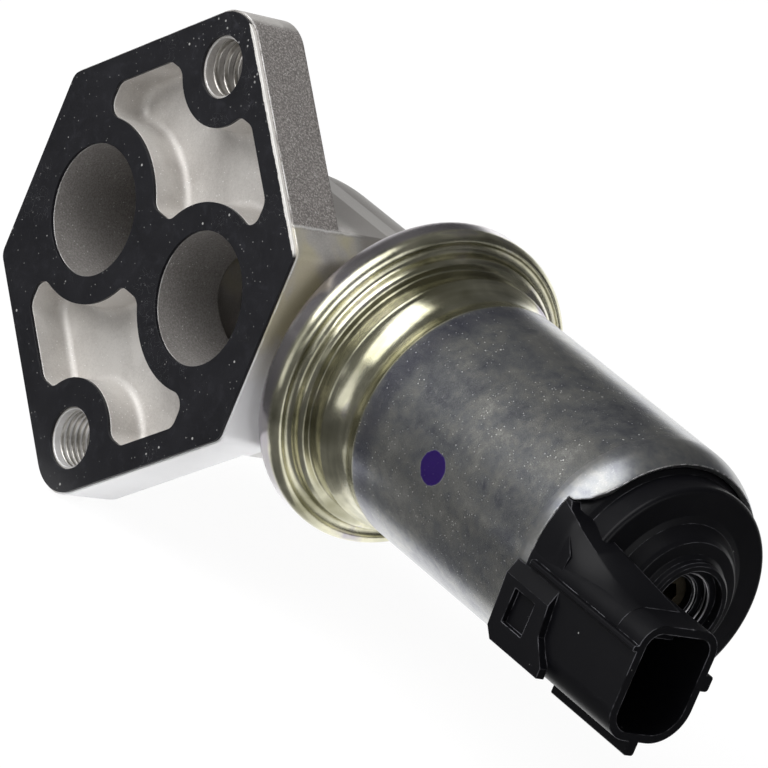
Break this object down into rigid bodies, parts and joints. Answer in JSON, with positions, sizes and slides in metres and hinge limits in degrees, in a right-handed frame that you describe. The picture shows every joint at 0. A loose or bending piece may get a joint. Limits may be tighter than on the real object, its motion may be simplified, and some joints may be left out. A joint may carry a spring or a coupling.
{
  "type": "idle air control valve",
  "caption": "Idle air control valve: a solenoid in a crimped steel can on a cast flange with air ports, and a side connector on its moulded end cap.",
  "frame": {"origin": "centre of the sealing face, midway between the two air ports and the two bolt holes", "axes": "+X along the solenoid towards its connector end, -Y out of the sealing face, +Z along the line of the bolt holes"},
  "size_m": [0.1488, 0.0509, 0.0768],
  "materials": {
    "cast_alloy": "as-cast, fine grain, satin",
    "black_coating": "glossy black with white dust specks",
    "plated_steel": "dull yellow-zinc plate with brighter rolled edges",
    "black_moulding": "semi-gloss black",
    "tinned_brass": "dull tin plate",
    "bobbin_nylon": "natural nylon",
    "enamelled_copper": "enamelled winding wire",
    "soft_iron": "turned, lightly oiled",
    "tube_brass": "drawn tube",
    "ground_steel": "ground and polished",
    "turned_alloy": "turned",
    "seal_rubber": "moulded black rubber",
    "bush_bronze": "sintered bronze",
    "spring_steel": "drawn spring wire",
    "screw_brass": "tarnished, threaded"
  },
  "bodies": {
    "housing": {"valve_body": "cast_alloy", "flange_gasket": "black_coating", "solenoid_can": "plated_steel", "end_cap": "black_moulding", "upper_terminal": "tinned_brass", "lower_terminal": "tinned_brass", "coil_bobbin": "bobbin_nylon", "coil_winding": "enamelled_copper", "pole_piece": "soft_iron", "guide_tube": "tube_brass", "valve_seat": "turned_alloy", "front_bush": "bush_bronze", "rear_bush": "bush_bronze", "adjusting_screw": "screw_brass", "flux_plate": "soft_iron", "rear_flux_ring": "soft_iron", "body_seal": "seal_rubber", "cap_seal": "seal_rubber", "bore_plug": "turned_alloy"},
    "plunger": {"armature": "soft_iron", "valve_shaft": "ground_steel", "valve_poppet": "turned_alloy", "valve_seal": "seal_rubber", "retaining_ring": "spring_steel", "return_spring": "spring_steel", "balance_spring": "spring_steel"}
  },
  "joints": [
    {"name": "plunger_slide", "type": "slide", "parent": "housing", "child": "plunger", "axis": [-1, 0, 0], "range_m": [0, 0.0032], "stiffness_N_per_m": 900, "springref_m": -0.0045, "deforming": ["return_spring", "balance_spring"]}
  ]
}
